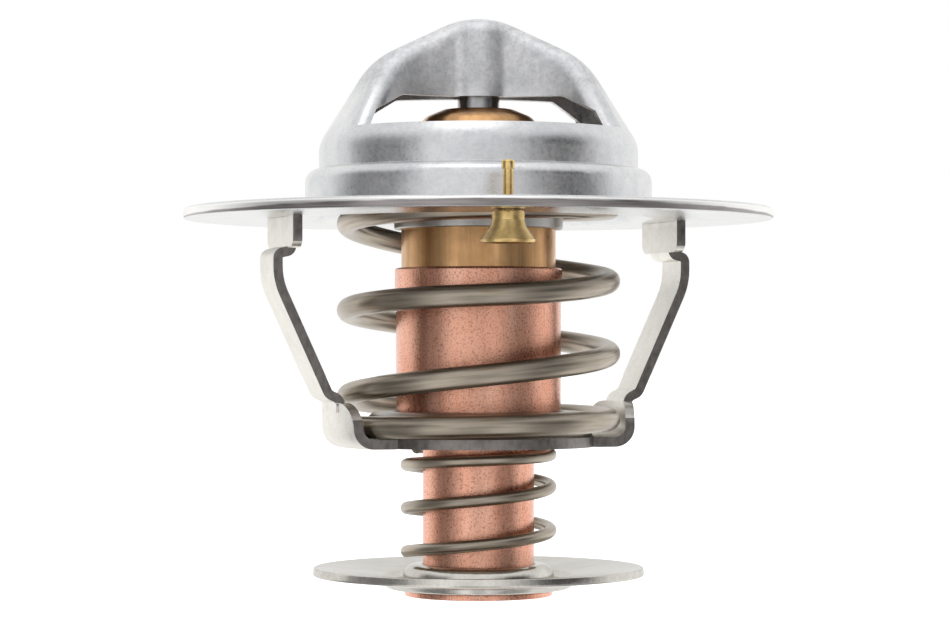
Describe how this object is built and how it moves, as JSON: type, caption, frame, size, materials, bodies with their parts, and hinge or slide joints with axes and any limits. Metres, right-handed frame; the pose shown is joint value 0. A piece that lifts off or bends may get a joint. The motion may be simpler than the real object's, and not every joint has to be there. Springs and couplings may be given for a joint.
{
  "type": "engine thermostat",
  "caption": "Engine cooling thermostat: flanged sheet-metal frame with a bridge, wax element, coil-sprung main valve, by-pass valve plate and jiggle pin.",
  "frame": {"origin": "on the valve's axis, in the plane of the flange's underside", "axes": "+Z along the axis towards the bridge, +X along the bridge, the jiggle pin on the -Y side"},
  "size_m": [0.056, 0.056, 0.0549],
  "materials": {
    "plated_sheet": "satin zinc-plated sheet",
    "bracket_steel": "satin pressed steel with sheared edges",
    "valve_steel": "satin pressed steel",
    "bypass_steel": "bright pressed steel",
    "spring_steel": "smooth drawn wire",
    "piston_steel": "ground, polished",
    "guide_brass": "turned, dull",
    "case_copper": "bare drawn copper, slightly mottled",
    "wax": "dull",
    "seal_rubber": "matt",
    "disc_polymer": "smooth",
    "pin_brass": "bright"
  },
  "bodies": {
    "frame": {"frame": "plated_sheet", "bracket": "bracket_steel", "piston": "piston_steel", "backup_disc": "disc_polymer", "rubber_plug": "seal_rubber", "main_spring": "spring_steel"},
    "element": {"guide": "guide_brass", "case": "case_copper", "valve_plate": "valve_steel", "wax": "wax", "diaphragm": "seal_rubber", "bypass_spring": "spring_steel"},
    "bypass_valve": {"bypass_plate": "bypass_steel"},
    "jiggle_pin": {"jiggle_rod": "pin_brass", "jiggle_weight": "pin_brass"}
  },
  "joints": [
    {"name": "main_valve_lift", "type": "slide", "parent": "frame", "child": "element", "axis": [0, 0, -1], "range_m": [0, 0.008], "stiffness_N_per_m": 4900, "springref_m": -0.012, "deforming": ["main_spring"]},
    {"name": "bypass_valve_slide", "type": "slide", "parent": "element", "child": "bypass_valve", "axis": [0, 0, 1], "range_m": [0, 0.005], "stiffness_N_per_m": 3500, "springref_m": -0.004, "deforming": ["bypass_spring"]},
    {"name": "jiggle_pin_slide", "type": "slide", "parent": "frame", "child": "jiggle_pin", "axis": [0, 0, -1], "range_m": [0, 0.0025]}
  ]
}
